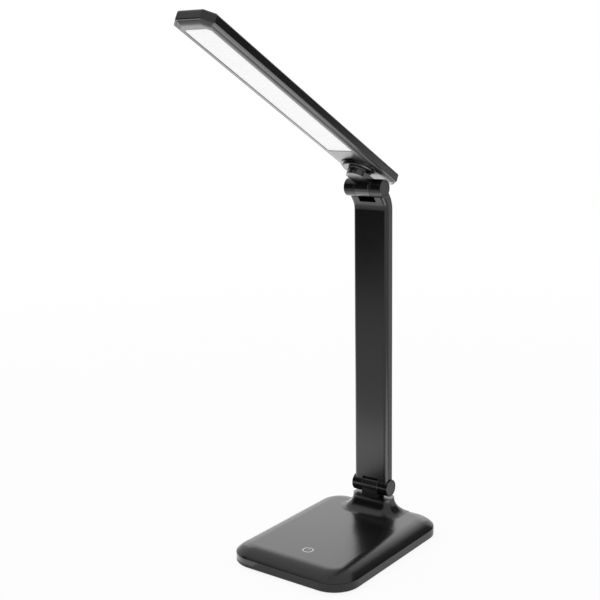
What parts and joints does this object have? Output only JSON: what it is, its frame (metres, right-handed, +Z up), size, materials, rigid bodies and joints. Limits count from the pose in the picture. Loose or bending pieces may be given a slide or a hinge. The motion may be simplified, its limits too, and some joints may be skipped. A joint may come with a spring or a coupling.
{
  "type": "folding LED desk lamp",
  "caption": "Black folding desk lamp: weighted base with soft shoulders, flat upright arm that leans forward at the top, and a long flat light head that tilts and swivels.",
  "frame": {"origin": "on the desk, under the middle of the base", "axes": "X along the hinge bolts, -Y to the front, Z up"},
  "size_m": [0.12, 0.2508, 0.4463],
  "materials": {
    "black_plastic": "satin black moulded plastic",
    "steel": "zinc-plated steel",
    "rubber": "black rubber",
    "bronze": "sintered bronze",
    "grey_print": "light grey plastic",
    "board": "green circuit board",
    "lead": "grey flat cable sheath",
    "diffuser_white": "opal white plastic",
    "white_plastic": "matt white",
    "led_yellow": "phosphor yellow"
  },
  "bodies": {
    "base": {"base_top_shell": "black_plastic", "base_bottom_plate": "black_plastic", "ballast_plate": "steel", "rubber_feet": "rubber", "base_screws": "steel", "base_knuckle": "black_plastic", "knuckle_clamp": "steel", "knuckle_screws": "steel", "knuckle_bush": "bronze", "power_mark": "grey_print", "touch_board": "board", "driver_board": "board", "power_socket": "steel"},
    "arm": {"arm_rear_shell": "black_plastic", "arm_front_cover": "black_plastic", "arm_lead": "lead", "lower_hinge_bolt": "steel", "lower_hinge_nut": "steel", "lower_spring_washers": "steel", "lower_ear_caps": "black_plastic", "upper_hinge_bolt": "steel", "upper_hinge_nut": "steel", "upper_spring_washers": "steel", "upper_ear_caps": "black_plastic", "upper_ring": "black_plastic"},
    "link": {"link_arm": "black_plastic", "link_cover": "black_plastic", "link_bush": "bronze", "swivel_tube": "steel", "swivel_friction_washer": "grey_print", "swivel_spring_washer": "steel", "swivel_nut": "steel"},
    "head": {"head_housing": "black_plastic", "head_frame": "black_plastic", "diffuser": "diffuser_white", "reflector": "white_plastic", "led_board": "white_plastic", "led_chips": "led_yellow", "swivel_boss": "black_plastic", "boss_screws": "steel"}
  },
  "joints": [
    {"name": "base_fold", "type": "hinge", "parent": "base", "child": "arm", "pos_m": [0, 0.0585, 0.03833], "axis": [1, 0, 0], "range_deg": [-15, 90]},
    {"name": "head_tilt", "type": "hinge", "parent": "arm", "child": "link", "pos_m": [0, 0.048, 0.30833], "axis": [1, 0, 0], "range_deg": [-35, 118]},
    {"name": "head_swivel", "type": "hinge", "parent": "link", "child": "head", "pos_m": [0, 0.03021, 0.3179], "axis": [0, 0.4741, 0.8805], "range_deg": [-90, 90]}
  ]
}
